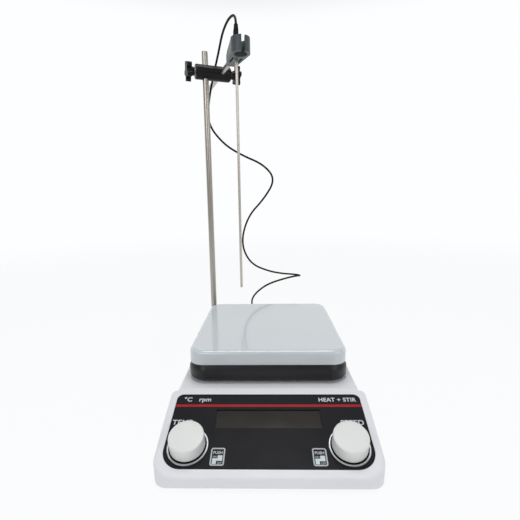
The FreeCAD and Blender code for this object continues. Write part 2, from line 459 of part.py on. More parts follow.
# the holder, upright: x to the clamp's right, y back along the arm (the arm's hole at y = 0)
zc = 0.5 * (HOLD_Z0 + HOLD_Z1)
pc, cc = -HOLD_PROBE, -HOLD_COLLAR
hb = cyl(COLLAR_R, HOLD_Z0, HOLD_Z1, 0, cc)
bodyp = Part.Face(Part.makePolygon([V(x, y, HOLD_Z0) for x, y in
        [(-12.6, cc + 2.0), (-9.0, -70), (-6.6, -57), (6.6, -57), (9.0, -70), (12.6, cc + 2.0), (-12.6, cc + 2.0)]])).extrude(V(0, 0, HOLD_Z1 - HOLD_Z0))
# the body's top falls towards the arm
cutp = Part.Face(Part.makePolygon([V(-20, y, z) for y, z in [(cc - 3.5, HOLD_Z1 + 0.01), (-50, 463.0), (-50, 480), (cc - 3.5, 480), (cc - 3.5, HOLD_Z1 + 0.01)]])).extrude(V(40, 0, 0))
bodyp = bodyp.cut(cutp)
hb = hb.fuse(bodyp).removeSplitter()
hb = hb.cut(cyl(COLLAR_BORE, HOLD_Z0 - 1, HOLD_Z1 + 1, 0, cc))
hb = hb.cut(box(-2.6, cc - 20, HOLD_Z0 - 1, 2.6, cc - 4, HOLD_Z1 + 1))
# pockets moulded into the underside either side of the middle web
hb = hb.cut(rbox(-7.2, pc - 5.5, HOLD_Z0 - 1, -4.6, pc + 13, HOLD_Z0 + 11, 0.8)).cut(rbox(4.6, pc - 5.5, HOLD_Z0 - 1, 7.2, pc + 13, HOLD_Z0 + 11, 0.8))
# hole for the probe's tube, and the stepped seat for its handle on top
hb = hb.cut(cyl(PROBE_R + 0.15, HOLD_Z0 - 1, HOLD_Z1 + 1, 0, pc)).cut(cyl(4.3, HOLD_Z0 + 13.6, HOLD_Z1 + 1, 0, pc))
# socket that the arm rod turns in
sock = Part.makeCylinder(ARM_R + 0.06, 30, V(0, -57 + 1, CLAMP_Z), V(0, -1, 0)).common(box(-10, -70.3, 440, 10, -50, 480))
hb = hb.cut(sock)
put("probe_holder", arm_up(hb))

PX = ARM_X + HOLD_PROBE * W[0]
PY = ARM_Y + HOLD_PROBE * W[1]
SEAT = HOLD_Z0 + 13.6
tubep = cyl(PROBE_R, PROBE_TIP + PROBE_R, SEAT + 14, PX, PY).fuse(Part.makeSphere(PROBE_R, V(PX, PY, PROBE_TIP + PROBE_R)))
put("probe_tube", tubep.removeSplitter())
BOOT_TOP = 491.0
NECK = BOOT_TOP - 5.2
LEAN = V(0.5, 4.4, 19.1).normalize()     # the cable leaves the handle a little backwards
# the boot leans over in two short steps along the cable's first bend
bend0 = V(PX, PY, NECK) + LEAN * 5.2
bend1 = bend0 + LEAN * 19.6
bend2 = (bend1 + V(-51.1, 67.0, 513.3)) * 0.5
BT = 0.12
TIP = bend0 * (1 - BT) ** 2 + bend1 * (2 * BT * (1 - BT)) + bend2 * BT ** 2
KNEE = bend1 + (bend2 - bend1) * BT
CREST = bend2 * 2 - KNEE
TIP_DIR = (KNEE - TIP).normalize()
ELBOW = TIP - TIP_DIR * 7.0
step = ELBOW - V(PX, PY, NECK)
boot = revolve([(0, SEAT + 0.1), (3.75, SEAT + 0.1), (3.75, NECK - 2), (3.6, NECK), (0, NECK)], PX, PY)
boot = boot.fuse(Part.makeSphere(3.6, V(PX, PY, NECK))).fuse(Part.makeCone(3.6, 3.3, step.Length, V(PX, PY, NECK), step))
boot = boot.fuse(Part.makeSphere(3.3, ELBOW)).fuse(Part.makeCone(3.3, 2.7, 7.0, ELBOW, TIP_DIR))
boot = boot.cut(cyl(PROBE_R + 0.0, SEAT - 1, SEAT + 14, PX, PY))
put("probe_handle", boot.removeSplitter())

# ---------------------------------------------------------------- probe plug and cable
PLUG_END = 181.0
pl = Part.makeCylinder(3.5, 9, V(SOCKET_X, RY - 5, SOCKET_Z), Y1).fuse(Part.makeCylinder(5.6, 17.8, V(SOCKET_X, RY + 4.0, SOCKET_Z), Y1))
pl = pl.fuse(Part.makeCone(3.9, 2.4, PLUG_END - RY - 21.8, V(SOCKET_X, RY + 21.8, SOCKET_Z), Y1))
put("probe_plug", pl.removeSplitter())

# The cable's route, from the probe's handle to the plug: the corners of its runs.
ROUTE = [
    (TIP.x, TIP.y, TIP.z), (KNEE.x, KNEE.y, KNEE.z), (CREST.x, CREST.y, CREST.z), (-63.3, 92.0, 505.4), (-73.4, 120.0, 488.8),
    (-85.9, 145.6, 464.8), (-96.3, 157.8, 433.8), (-102.3, 160.0, 390.5), (-75.5, 162.0, 355.6), (-43.0, 164.0, 336.0),
    (-4.8, 168.0, 320.0), (16.6, 174.0, 294.2), (-4.4, 178.0, 259.6), (-35.7, 182.0, 227.1), (-50.3, 186.0, 176.2),
    (-33.4, 190.0, 135.1), (2.8, 197.0, 118.0), (32.0, 206.0, 110.9), (50.0, 215.2, 107.7), (63.5, 210.5, 107.0),
    (65.5, 195.0, 109.2), (54.5, 181.5, 111.6), (31.0, 174.3, 107.8), (0.0, 175.5, 97.3), (-21.9, 186.0, 78.0),
    (-31.5, 203.0, 60.0), (-32.5, 214.0, 43.5), (-28.6, 210.6, 27.0), (SOCKET_X, 196.0, SOCKET_Z), (SOCKET_X, PLUG_END, SOCKET_Z)]
# The cable is modelled in five stretches, one for each joint that it passes; each ends in the middle of a run.
SPLITS = [2, 4, 6, 11]
NAMES = ["probe_cable_5", "probe_cable_4", "probe_cable_3", "probe_cable_2", "probe_cable_1"]
R = [V(*p) for p in ROUTE]
radii = []
groups = [[]]


def straight(p, q):
    if (q - p).Length > 1e-4:
        groups[-1].append(Part.LineSegment(p, q).toShape())


here = R[0]
for i in range(1, len(R) - 1):
    d0, d1 = (R[i] - R[i - 1]), (R[i + 1] - R[i])
    l0, l1 = d0.Length, d1.Length
    d0.normalize()
    d1.normalize()
    turn = math.acos(max(-1.0, min(1.0, d0.dot(d1))))
    back = 0.45 * min(l0, l1)
    rad = back / math.tan(turn / 2)
    radii.append(rad)
    a0, a1 = R[i] - d0 * back, R[i] + d1 * back
    bis = (d1 - d0).normalize()
    centre = R[i] + bis * (rad / math.cos(turn / 2))
    mid = centre - bis * rad
    straight(here, a0)
    groups[-1].append(Part.Arc(a0, mid, a1).toShape())
    here = a1
    if i in SPLITS:
        m = (R[i] + R[i + 1]) * 0.5
        straight(here, m)
        groups.append([])
        here = m
straight(here, R[-1])
print("cable radii:", " ".join("%.1f" % r for r in radii))
total = 0.0
for name, g in zip(NAMES, groups):
    w = Part.Wire(g)
    total += w.Length
    first = g[0]
    p0 = first.valueAt(first.FirstParameter)
    t0 = first.tangentAt(first.FirstParameter)
    prof = Part.Wire(Part.makeCircle(CABLE_R, p0, t0))
    s = w.makePipeShell([prof], True, False)
    if s.Volume < 0:
        s.reverse()
    put(name, s)
    print("   length %.1f  volume %.1f  section x length %.1f" % (w.Length, s.Volume, math.pi * CABLE_R ** 2 * w.Length))
print("cable length %.1f mm" % total)
print("nodes", len(made))
print("arm hole", round(ARM_X, 3), round(ARM_Y, 3), "probe", round(PX, 3), round(PY, 3))
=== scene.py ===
import json
import math

import bmesh
import bpy
from mathutils import Matrix, Vector


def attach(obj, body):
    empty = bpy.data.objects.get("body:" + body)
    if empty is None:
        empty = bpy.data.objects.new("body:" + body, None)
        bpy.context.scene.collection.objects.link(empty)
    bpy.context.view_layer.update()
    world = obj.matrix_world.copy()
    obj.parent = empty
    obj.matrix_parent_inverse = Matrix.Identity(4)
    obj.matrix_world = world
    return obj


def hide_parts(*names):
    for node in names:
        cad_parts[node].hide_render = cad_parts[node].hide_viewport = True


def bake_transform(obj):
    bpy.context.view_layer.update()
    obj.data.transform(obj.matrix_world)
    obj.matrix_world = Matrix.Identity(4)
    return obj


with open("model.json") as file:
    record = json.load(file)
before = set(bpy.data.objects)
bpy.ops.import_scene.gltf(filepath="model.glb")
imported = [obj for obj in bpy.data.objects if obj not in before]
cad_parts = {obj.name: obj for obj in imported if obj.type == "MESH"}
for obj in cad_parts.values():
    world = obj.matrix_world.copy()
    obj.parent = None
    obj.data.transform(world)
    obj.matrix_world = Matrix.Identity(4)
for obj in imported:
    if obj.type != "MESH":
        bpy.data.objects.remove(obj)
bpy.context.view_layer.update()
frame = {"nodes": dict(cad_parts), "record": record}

N = frame["nodes"]
MM = 0.001


def mm(p):
    return Vector(p) * MM


# ------------------------------------------------------------------ camera
def set_camera():
    sy, cy = math.sin(0.0234), math.cos(0.0234)
    sp, cp = math.sin(0.1781), math.cos(0.1781)
    sr, cr = math.sin(0.0132), math.cos(0.0132)
    fwd = Vector((-sy * cp, cy * cp, -sp))
    right = Vector((cy, sy, 0))
    down = fwd.cross(right)
    r2 = cr * right + sr * down
    d2 = -sr * right + cr * down
    cam = bpy.data.cameras.new("camera")
    cam.sensor_width = 36.0
    cam.lens = 348.744 / 520 * 36.0
    cam.shift_x, cam.shift_y = 0.0007, 0.0002
    cam.clip_start, cam.clip_end = 0.01, 100
    ob = bpy.data.objects.new("camera", cam)
    m = Matrix((r2, -d2, -fwd)).transposed().to_4x4()
    m.translation = Vector((1.0189, -478.6258, 262.05)) * MM
    ob.matrix_world = m
    bpy.context.scene.collection.objects.link(ob)
    bpy.context.scene.camera = ob


set_camera()

# ------------------------------------------------------------------ the object's own directions
TILT = math.radians(17.22)
PANEL = Matrix(((1, 0, 0, 0), (0, math.cos(TILT), -math.sin(TILT), -107.3 * MM),
                (0, math.sin(TILT), math.cos(TILT), 44.0 * MM), (0, 0, 0, 1)))
TURN = math.radians(22.0)
U = Vector((math.cos(TURN), math.sin(TURN), 0))
W = Vector((math.sin(TURN), -math.cos(TURN), 0))
ROD = Vector((-94.8, 115.0, 0)) * MM
CLAMP_Z = 457.3 * MM
ARM = ROD + U * 25 * MM + Vector((0, 0, CLAMP_Z))
PROBE = ROD + U * 25 * MM + W * 85 * MM


def basis(origin, x, z):
    z = Vector(z).normalized()
    x = Vector(x).normalized()
    y = z.cross(x)
    m = Matrix((x, y, z)).transposed().to_4x4()
    m.translation = Vector(origin)
    return m


# ------------------------------------------------------------------ mesh helpers
def link(ob):
    bpy.context.scene.collection.objects.link(ob)
    return ob


def mesh_object(name, verts, faces, mat=None, sharp=32):
    me = bpy.data.meshes.new(name)
    me.from_pydata([tuple(v) for v in verts], [], faces)
    me.validate()
    bm = bmesh.new()
    bm.from_mesh(me)
    bmesh.ops.recalc_face_normals(bm, faces=bm.faces)
    bm.to_mesh(me)
    bm.free()
    me.polygons.foreach_set("use_smooth", [True] * len(me.polygons))
    me.set_sharp_from_angle(angle=math.radians(sharp))
    ob = link(bpy.data.objects.new(name, me))
    if mat:
        me.materials.append(mat)
    return ob


def bake(ob):
    """The object's modifiers become its mesh."""
    bpy.context.view_layer.update()
    dg = bpy.context.evaluated_depsgraph_get()
    me = bpy.data.meshes.new_from_object(ob.evaluated_get(dg), preserve_all_data_layers=True, depsgraph=dg)
    old = ob.data
    ob.modifiers.clear()
    ob.data = me
    if old.users == 0:
        bpy.data.meshes.remove(old)
    return ob


def finish_piece(ob, body, slot, *replaced):
    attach(ob, body)
    if replaced:
        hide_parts(*replaced)
    return ob


def refine(node, body, slot, mat, width=0.3, angle=34, seg=3, name=None, weighted=True, keep=None):
    """A detailed copy of a part: its edges are broken by small rounds, and it is shaded from them."""
    src = N[node].data
    bm = bmesh.new()
    vs = [bm.verts.new(v.co) for v in src.vertices]
    for p in src.polygons:
        try:
            bm.faces.new([vs[i] for i in p.vertices])
        except ValueError:
            pass
    bmesh.ops.remove_doubles(bm, verts=bm.verts, dist=1.5e-6)
    bmesh.ops.dissolve_degenerate(bm, edges=bm.edges, dist=1e-6)
    bmesh.ops.dissolve_limit(bm, angle_limit=math.radians(0.25), verts=bm.verts, edges=bm.edges)
    bmesh.ops.recalc_face_normals(bm, faces=bm.faces)
    me = bpy.data.meshes.new(name or node + "_finish")
    bm.to_mesh(me)
    bm.free()
    me.polygons.foreach_set("use_smooth", [True] * len(me.polygons))
    ob = link(bpy.data.objects.new(name or node + "_finish", me))
    me.materials.append(mat)
    if width:
        b = ob.modifiers.new("edges", "BEVEL")
        b.width = width * MM
        b.segments = seg
        b.limit_method = "ANGLE"
        b.angle_limit = math.radians(angle)
        b.use_clamp_overlap = True
        b.harden_normals = False
        b.miter_outer = "MITER_ARC"
    bake(ob)
    ob.data.set_sharp_from_angle(angle=math.radians(40))
    if weighted:
        w = ob.modifiers.new("normals", "WEIGHTED_NORMAL")
        w.keep_sharp = True
        w.weight = 80
        bake(ob)
    finish_piece(ob, body, slot, node)
    return ob


def rounded(hx, hy, r, z, seg=10, cx=0.0, cy=0.0, span=6):
    """Rounded rectangle, counter-clockwise, in mm; its straight sides are divided too."""
    pts = []
    corners = [(hx - r, hy - r, 0), (-hx + r, hy - r, 90), (-hx + r, -hy + r, 180), (hx - r, -hy + r, 270)]
    for k, (x, y, a0) in enumerate(corners):
        for i in range(seg + 1):
            a = math.radians(a0 + 90 * i / seg)
            pts.append((cx + x + r * math.cos(a), cy + y + r * math.sin(a), z))
        nx, ny, b0 = corners[(k + 1) % 4]
        a = math.radians(b0)
        p, q = pts[-1], (cx + nx + r * math.cos(a), cy + ny + r * math.sin(a), z)
        for i in range(1, span):
            t = i / span
            pts.append((p[0] + (q[0] - p[0]) * t, p[1] + (q[1] - p[1]) * t, z))
    return pts


def circle(r, z, n=96, cx=0.0, cy=0.0, wave=0.0, lobes=0, power=1.0):
    out = []
    for i in range(n):
        a = 2 * math.pi * i / n
        rr = r
        if lobes:
            rr = r - wave * (0.5 - 0.5 * math.cos(lobes * a)) ** power
        out.append((cx + rr * math.cos(a), cy + rr * math.sin(a), z))
    return out


def loft(name, rings, mat, caps=(True, True), matrix=None, sharp=32, closed_ring=True):
    n = len(rings[0])
    verts = [Vector(p) * MM for r in rings for p in r]
    faces = []
    for k in range(len(rings) - 1):
        for i in range(n):
            j = (i + 1) % n
            faces.append((k * n + i, k * n + j, (k + 1) * n + j, (k + 1) * n + i))
    if caps[0]:
        faces.append(tuple(reversed(range(n))))
    if caps[1]:
        faces.append(tuple(range((len(rings) - 1) * n, len(rings) * n)))
    if matrix is not None:
        verts = [matrix @ v for v in verts]
    return mesh_object(name, verts, faces, mat, sharp)


def arc_profile(x0, y0, r, a0, a1, n):
    return [(x0 + r * math.cos(math.radians(a0 + (a1 - a0) * i / n)), y0 + r * math.sin(math.radians(a0 + (a1 - a0) * i / n))) for i in range(n + 1)]


# ------------------------------------------------------------------ materials
def material(name, base, rough=0.5, metal=0.0, spec=0.5, coat=0.0, coat_rough=0.08, cvar=0.05, cscale=25.0, rvar=0.08, rscale=90.0,
             bump=0.2, bscale=1500.0, bdist=0.03, bdetail=2.0, stretch=None, turn=None, tint=None, scuff=0.0, scuff_scale=220.0, sheen=0.0,
             speckle=None, aniso=0.0):
    """Colour drifts between two close tones, gloss varies in patches, and a fine grain breaks the highlights.
    stretch draws the grain out along an axis (the scale of each axis), turn rotates it first."""
    m = bpy.data.materials.new(name)
    m.use_nodes = True
    nt = m.node_tree
    nt.nodes.clear()
    L = nt.links.new
    out = nt.nodes.new("ShaderNodeOutputMaterial")
    b = nt.nodes.new("ShaderNodeBsdfPrincipled")
    L(b.outputs[0], out.inputs[0])
    b.inputs["Metallic"].default_value = metal
    b.inputs["Specular IOR Level"].default_value = spec
    b.inputs["Coat Weight"].default_value = coat
    b.inputs["Coat Roughness"].default_value = coat_rough
    b.inputs["Sheen Weight"].default_value = sheen
    if aniso:
        b.inputs["Anisotropic"].default_value = aniso
    tc = nt.nodes.new("ShaderNodeTexCoord")
    src = tc.outputs["Object"]
    if turn is not None or stretch is not None:
        if turn is not None:
            mp0 = nt.nodes.new("ShaderNodeMapping")
            mp0.inputs["Rotation"].default_value = turn
            L(src, mp0.inputs[0])
            src = mp0.outputs[0]
        mp = nt.nodes.new("ShaderNodeMapping")
        mp.inputs["Scale"].default_value = stretch or (1, 1, 1)
        L(src, mp.inputs[0])
        fine = mp.outputs[0]
    else:
        fine = src

    def noise(scale, detail, vec, rough_=0.55):
        t = nt.nodes.new("ShaderNodeTexNoise")
        t.inputs["Scale"].default_value = scale
        t.inputs["Detail"].default_value = detail
        t.inputs["Roughness"].default_value = rough_
        L(vec, t.inputs["Vector"])
        return t.outputs["Fac"]

    def ramp(fac, p0, c0, p1, c1):
        r = nt.nodes.new("ShaderNodeValToRGB")
        r.color_ramp.elements[0].position = p0
        r.color_ramp.elements[0].color = c0
        r.color_ramp.elements[1].position = p1
        r.color_ramp.elements[1].color = c1
        L(fac, r.inputs[0])
        return r

    dark = [c * (1 - cvar) for c in base] + [1]
    lite = [min(1, c * (1 + cvar)) for c in base] + [1]
    if tint:
        lite = [min(1, c * (1 + cvar) * t) for c, t in zip(base, tint)] + [1]
    col = ramp(noise(cscale, 3.0, fine if stretch else src), 0.3, dark, 0.7, lite)
    colour = col.outputs[0]
    if speckle:
        sc, amount, tone = speckle
        sp = ramp(noise(sc, 1.0, src), 0.64, (0, 0, 0, 1), 0.72, (1, 1, 1, 1))
        mx = nt.nodes.new("ShaderNodeMix")
        mx.data_type = "RGBA"
        mx.inputs[7].default_value = list(tone) + [1]
        ml = nt.nodes.new("ShaderNodeMath")
        ml.operation = "MULTIPLY"
        ml.inputs[1].default_value = amount
        L(sp.outputs[0], ml.inputs[0])
        L(ml.outputs[0], mx.inputs[0])
        L(colour, mx.inputs[6])
        colour = mx.outputs[2]
    L(colour, b.inputs["Base Color"])
    rn = noise(rscale, 4.0, fine if stretch else src)
    mr = nt.nodes.new("ShaderNodeMapRange")
    mr.inputs["From Min"].default_value = 0.25
    mr.inputs["From Max"].default_value = 0.75
    mr.inputs["To Min"].default_value = max(0.02, rough - rvar)
    mr.inputs["To Max"].default_value = min(1, rough + rvar)
    L(rn, mr.inputs[0])
    rsock = mr.outputs[0]
    if scuff:
        s = ramp(noise(scuff_scale, 6.0, src, 0.7), 0.60, (0, 0, 0, 1), 0.74, (1, 1, 1, 1))
        ma = nt.nodes.new("ShaderNodeMath")
        ma.operation = "MULTIPLY_ADD"
        ma.inputs[1].default_value = scuff
        L(s.outputs[0], ma.inputs[0])
        L(rsock, ma.inputs[2])
        ma.use_clamp = True
        rsock = ma.outputs[0]
    L(rsock, b.inputs["Roughness"])
    if bump:
        bn = noise(bscale, bdetail, fine)
        bp = nt.nodes.new("ShaderNodeBump")
        bp.inputs["Strength"].default_value = bump
        bp.inputs["Distance"].default_value = bdist * MM
        L(bn, bp.inputs["Height"])
        L(bp.outputs[0], b.inputs["Normal"])
    return m


W_TURN = (0, 0, -math.atan2(W.y, W.x))     # brings the arm's direction onto X
M = {
    "housing_white": material("powder_white", (0.745, 0.75, 0.785), 0.42, spec=0.45, cvar=0.02, cscale=9, rvar=0.06, rscale=60, bump=0.28, bscale=1300, bdist=0.05, scuff=0.10),
    # the base pan's near-black tone is partly its own dark finish and partly painted shade: it is darkened so its lower
    # edge reads as the shadow line along the bottom of the body
    "pan_grey": material("pan_dark_and_painted_shade", (0.08, 0.082, 0.084), 0.5, spec=0.4, cvar=0.08, cscale=14, bump=0.35, bscale=900, bdist=0.06, scuff=0.12),
    "foot_rubber": material("rubber_matt", (0.022, 0.022, 0.023), 0.75, spec=0.3, cvar=0.25, cscale=80, bump=0.4, bscale=1400, bdist=0.06),
    "screw_steel": material("zinc_bright", (0.60, 0.60, 0.61), 0.32, metal=1, cvar=0.08, cscale=300, bump=0.2, bscale=2500, bdist=0.02),
    "overlay_black": material("film_black", (0.0115, 0.0118, 0.015), 0.42, spec=0.10, cvar=0.10, cscale=20, rvar=0.05, rscale=45, bump=0.22, bscale=3200, bdist=0.02, scuff=0.06),
    "window_smoke": material("smoked_window", (0.0155, 0.0125, 0.0105), 0.16, spec=0.30, cvar=0.12, cscale=12, rvar=0.04, rscale=30, bump=0.05, bscale=500, bdist=0.02),
    "display_black": material("display_black", (0.02, 0.02, 0.022), 0.3, cvar=0.1, bump=0.1),
    "ring_silver": material("ring_satin", (0.52, 0.54, 0.55), 0.34, metal=0.85, cvar=0.06, cscale=160, rvar=0.08, bump=0.3, bscale=2600, bdist=0.02),
    "board_green": material("board_green", (0.02, 0.12, 0.05), 0.4, cvar=0.2, cscale=300, bump=0.3, bscale=700, bdist=0.05),
    "encoder_steel": material("stamped_steel", (0.5, 0.5, 0.51), 0.35, metal=1, cvar=0.08, cscale=200, bump=0.2),
    "knob_white": material("knob_white", (0.73, 0.745, 0.73), 0.38, spec=0.45, cvar=0.015, cscale=40, rvar=0.05, rscale=150, bump=0.2, bscale=2600, bdist=0.025, scuff=0.08),
    "plate_white": material("glaze_white", (0.57, 0.62, 0.64), 0.13, spec=0.5, coat=0.35, coat_rough=0.05, cvar=0.018, cscale=7, rvar=0.05, rscale=28, bump=0.06, bscale=110, bdist=0.12,
                            scuff=0.09, scuff_scale=120, speckle=(900, 0.10, (0.42, 0.46, 0.48))),
    "heater_metal": material("heater_metal", (0.4, 0.36, 0.32), 0.45, metal=1, cvar=0.2, cscale=40, bump=0.3),
    "insulation_fibre": material("fibre", (0.6, 0.57, 0.5), 0.95, spec=0.2, cvar=0.15, cscale=400, bump=0.8, bscale=900, bdist=0.3),
    "shroud_black": material("enamel_black", (0.0085, 0.0087, 0.0105), 0.36, spec=0.38, cvar=0.18, cscale=30, rvar=0.08, rscale=70, bump=0.3, bscale=900, bdist=0.05, scuff=0.12),
    "post_steel": material("post_steel", (0.55, 0.55, 0.56), 0.35, metal=1, cvar=0.06, cscale=200, bump=0.2),
    "motor_steel": material("motor_steel", (0.5, 0.5, 0.51), 0.4, metal=1, cvar=0.06, cscale=60, bump=0.2),
    "bearing_steel": material("bearing_steel", (0.62, 0.62, 0.64), 0.2, metal=1, cvar=0.04, cscale=60, bump=0.1),
    "copper_winding": material("copper_winding", (0.5, 0.2, 0.08), 0.4, metal=1, cvar=0.2, cscale=900, bump=0.8, bscale=1400, bdist=0.2),
    "holder_aluminium": material("turned_aluminium", (0.68, 0.68, 0.7), 0.3, metal=1, cvar=0.05, cscale=200, bump=0.2),
    "magnet_grey": material("magnet_nickel", (0.4, 0.4, 0.42), 0.3, metal=1, cvar=0.05, cscale=90, bump=0.1),
    "transformer_core": material("core_laminated", (0.05, 0.05, 0.055), 0.55, metal=0.6, cvar=0.2, cscale=300, bump=0.8, bscale=500, bdist=0.2, stretch=(1, 1, 12)),
    "capacitor_sleeve": material("sleeve_blue", (0.02, 0.03, 0.09), 0.3, cvar=0.1, bump=0.1),
    "heat_sink_aluminium": material("extruded_aluminium", (0.6, 0.6, 0.62), 0.4, metal=1, cvar=0.05, cscale=120, bump=0.2),
    "connector_black": material("connector_black", (0.02, 0.02, 0.021), 0.5, cvar=0.15, cscale=90, bump=0.5, bscale=1500, bdist=0.05),
    "pin_nickel": material("pin_nickel", (0.62, 0.58, 0.47), 0.25, metal=1, cvar=0.06, cscale=200, bump=0.1),
    "rocker_black": material("rocker_black", (0.02, 0.02, 0.022), 0.28, cvar=0.1, cscale=60, bump=0.15, bscale=1800, bdist=0.03),
    "socket_nickel": material("socket_nickel", (0.6, 0.6, 0.6), 0.24, metal=1, cvar=0.06, cscale=120, bump=0.12, bscale=1800, bdist=0.02),
    "rod_steel": material("rod_polished", (0.40, 0.378, 0.35), 0.30, metal=1, cvar=0.04, cscale=60, rvar=0.04, rscale=40, bump=0.0, stretch=(1, 1, 0.03), tint=(1.0, 0.98, 0.95)),
    "arm_steel": material("arm_drawn", (0.42, 0.41, 0.395), 0.30, metal=1, cvar=0.05, cscale=60, rvar=0.05, rscale=40, bump=0.0, turn=W_TURN, stretch=(0.03, 1, 1), scuff=0.05, scuff_scale=80),
    "clamp_black": material("clamp_black", (0.0065, 0.0064, 0.0064), 0.36, spec=0.17, cvar=0.2, cscale=60, rvar=0.08, rscale=120, bump=0.3, bscale=1500, bdist=0.035, scuff=0.12),
    "stud_zinc": material("stud_zinc", (0.55, 0.55, 0.58), 0.3, metal=1, cvar=0.08, cscale=200, bump=0.2),
    "grip_black": material("grip_black", (0.0065, 0.0065, 0.007), 0.42, spec=0.17, cvar=0.18, cscale=100, bump=0.35, bscale=1600, bdist=0.04, scuff=0.1),
    "holder_grey": material("holder_grey", (0.062, 0.074, 0.082), 0.38, spec=0.3, cvar=0.06, cscale=60, rvar=0.07, rscale=150, bump=0.3, bscale=1400, bdist=0.045, scuff=0.12),
    "probe_steel": material("probe_sheath", (0.56, 0.53, 0.485), 0.34, metal=1, cvar=0.04, cscale=80, rvar=0.05, rscale=50, bump=0.0, stretch=(1, 1, 0.03), tint=(1, 0.985, 0.955), scuff=0.04, scuff_scale=80),
    "handle_black": material("handle_black", (0.0075, 0.0075, 0.008), 0.5, spec=0.18, cvar=0.2, cscale=120, bump=0.4, bscale=1500, bdist=0.04),
    "cable_black": material("cable_jacket", (0.005, 0.005, 0.0055), 0.42, spec=0.16, cvar=0.2, cscale=100, rvar=0.08, bump=0.3, bscale=1400, bdist=0.03),
}
PRINT_WHITE = material("print_white", (0.60, 0.61, 0.62), 0.4, cvar=0.05, cscale=200, bump=0.2, bscale=2500, bdist=0.02)
PRINT_GREY = material("print_grey", (0.42, 0.44, 0.455), 0.42, cvar=0.05, cscale=200, bump=0.2, bscale=2500, bdist=0.02)
PRINT_RED = material("print_red", (0.36, 0.009, 0.014), 0.45, spec=0.2, cvar=0.06, cscale=120, bump=0.2, bscale=2500, bdist=0.02)
PRINT_ICE = material("print_ice", (0.56, 0.64, 0.67), 0.42, cvar=0.04, cscale=120, bump=0.2, bscale=2500, bdist=0.02)
DARK_GAP = material("dark_gap", (0.006, 0.006, 0.007), 0.7, spec=0.2, cvar=0.2, bump=0.3)

for sub in frame["record"]["subparts"]:
    me = N[sub["node"]].data
    me.materials.clear()
    me.materials.append(M[sub["material_slot"]])

# ------------------------------------------------------------------ the probe's cable
NECK = Vector((-39.779, 45.555, 485.8))
LEAN = Vector((0.5, 4.4, 19.1)).normalized()
BEND0 = NECK + LEAN * 5.2
BEND1 = BEND0 + LEAN * 19.6
BEND2 = (BEND1 + Vector((-51.1, 67.0, 513.3))) * 0.5
BT = 0.12
TIP = BEND0 * (1 - BT) ** 2 + BEND1 * (2 * BT * (1 - BT)) + BEND2 * BT ** 2
KNEE = BEND1 + (BEND2 - BEND1) * BT
CREST = BEND2 * 2 - KNEE
TIP_DIR = (KNEE - TIP).normalized()
ELBOW = TIP - TIP_DIR * 7.0
ROUTE = [
    tuple(TIP), tuple(KNEE), tuple(CREST), (-63.3, 92.0, 505.4), (-73.4, 120.0, 488.8),
    (-85.9, 145.6, 464.8), (-96.3, 157.8, 433.8), (-102.3, 160.0, 390.5), (-75.5, 162.0, 355.6), (-43.0, 164.0, 336.0),
    (-4.8, 168.0, 320.0), (16.6, 174.0, 294.2), (-4.4, 178.0, 259.6), (-35.7, 182.0, 227.1), (-50.3, 186.0, 176.2),
    (-33.4, 190.0, 135.1), (2.8, 197.0, 118.0), (32.0, 206.0, 110.9), (50.0, 215.2, 107.7), (63.5, 210.5, 107.0),
    (65.5, 195.0, 109.2), (54.5, 181.5, 111.6), (31.0, 174.3, 107.8), (0.0, 175.5, 97.3), (-21.9, 186.0, 78.0),
    (-31.5, 203.0, 60.0), (-32.5, 214.0, 43.5), (-28.6, 210.6, 27.0), (-27.0, 196.0, 22.0), (-27.0, 181.0, 22.0)]
SPLITS = [2, 4, 6, 11]
CABLE_R = 1.7


def nurbs_line(points):
    cu = bpy.data.curves.new("cable_line", "CURVE")
    cu.dimensions = "3D"
    sp = cu.splines.new("NURBS")
    sp.points.add(len(points) - 1)
    for p, q in zip(sp.points, points):
        p.co = (q[0] * MM, q[1] * MM, q[2] * MM, 1)
    sp.order_u = 3
    sp.use_endpoint_u = True
    sp.resolution_u = 14
    cu.resolution_u = 14
    ob = link(bpy.data.objects.new("cable_line", cu))
    bpy.context.view_layer.update()
    me = bpy.data.meshes.new_from_object(ob.evaluated_get(bpy.context.evaluated_depsgraph_get()))
    pts = [v.co.copy() for v in me.vertices]
    bpy.data.meshes.remove(me)
    bpy.data.objects.remove(ob)
    bpy.data.curves.remove(cu)
    if (pts[0] - mm(points[0])).length > (pts[-1] - mm(points[0])).length:
        pts.reverse()
    return pts


def tube_mesh(name, pts, frames, r, mat, n=18, marks=True):
    verts, faces = [], []
    for p, (a, b) in zip(pts, frames):
        for i in range(n):
            t = 2 * math.pi * i / n
            verts.append(p + (a * math.cos(t) + b * math.sin(t)) * r)
    for k in range(len(pts) - 1):
        for i in range(n):
            j = (i + 1) % n
            faces.append((k * n + i, k * n + j, (k + 1) * n + j, (k + 1) * n + i))
    faces.append(tuple(reversed(range(n))))
    faces.append(tuple(range((len(pts) - 1) * n, len(pts) * n)))
    return mesh_object(name, verts, faces, mat, sharp=60)


def transport(pts):
    tang = []
    for i in range(len(pts)):
        a = pts[max(0, i - 1)]
        b = pts[min(len(pts) - 1, i + 1)]
        tang.append((b - a).normalized())
    ref = tang[0].orthogonal().normalized()
    frames = []
    for t in tang:
        ref = (ref - t * ref.dot(t)).normalized()
        frames.append((ref.copy(), t.cross(ref).normalized()))
    return frames, tang


LINE = nurbs_line(ROUTE)
FRAMES, TANGENTS = transport(LINE)


def nearest(q):
    return min(range(len(LINE)), key=lambda i: (LINE[i] - q).length)


